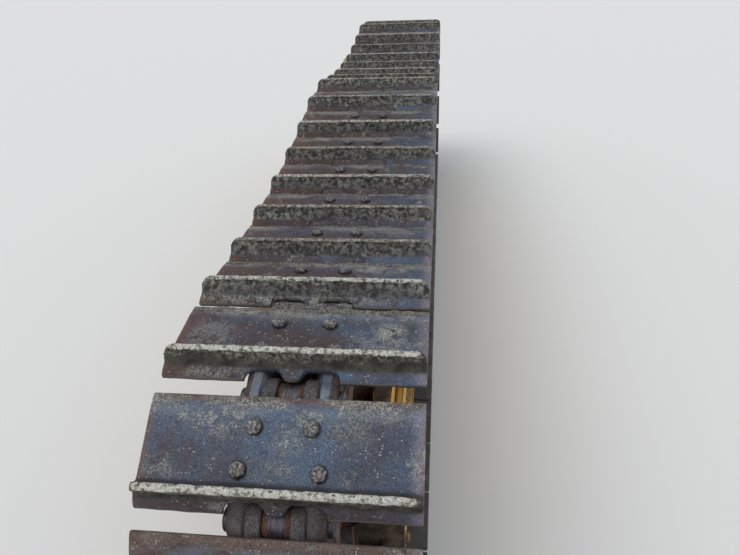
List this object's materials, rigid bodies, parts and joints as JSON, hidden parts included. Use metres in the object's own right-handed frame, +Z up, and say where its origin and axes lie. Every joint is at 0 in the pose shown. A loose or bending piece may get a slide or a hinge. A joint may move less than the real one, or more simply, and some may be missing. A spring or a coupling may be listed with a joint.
{
  "type": "bulldozer crawler track unit",
  "caption": "Left-side crawler track unit of a bulldozer: steel track loop on idler, sprocket and rollers, with its track frame, final drive and mounting brackets.",
  "frame": {"origin": "on the ground, in the middle of the unit's footprint box", "axes": "+X forward to the idler, +Y outboard to the machine's left, +Z up"},
  "size_m": [3.3486, 0.5032, 0.8637],
  "materials": {
    "track": "worn rusted steel with dried mud",
    "wheel_iron": "worn rusty casting with polished treads",
    "shaft_steel": "oily turned steel",
    "frame_paint": "worn yellow paint with rust and dirt"
  },
  "bodies": {
    "unit": {"track": "track", "carrier_roller": "wheel_iron", "sprocket_segments": "wheel_iron", "bottom_roller_1": "wheel_iron", "bottom_roller_2": "wheel_iron", "bottom_roller_3": "wheel_iron", "bottom_roller_4": "wheel_iron", "bottom_roller_5": "wheel_iron", "bottom_roller_6": "wheel_iron", "idler_shaft": "shaft_steel", "recoil_rod": "shaft_steel", "track_frame": "frame_paint", "idler_block_outer": "frame_paint", "idler_block_inner": "frame_paint", "idler_yoke": "frame_paint", "recoil_cover": "frame_paint", "carrier_bracket": "frame_paint", "sprocket_hub": "frame_paint", "drive_cover": "frame_paint", "drive_housing": "frame_paint", "front_mount": "frame_paint", "rear_mount": "frame_paint", "chain_guard_front": "frame_paint", "chain_guard_middle": "frame_paint", "chain_guard_rear": "frame_paint", "roller_mount_1": "frame_paint", "roller_mount_2": "frame_paint", "roller_mount_3": "frame_paint", "roller_mount_4": "frame_paint", "roller_mount_5": "frame_paint", "roller_mount_6": "frame_paint"},
    "idler": {"idler_wheel": "wheel_iron"}
  },
  "joints": [
    {"name": "idler_spin", "type": "hinge", "parent": "unit", "child": "idler", "pos_m": [1.27892, 0.0484, 0.41222], "axis": [0, 1, 0], "continuous": true}
  ]
}
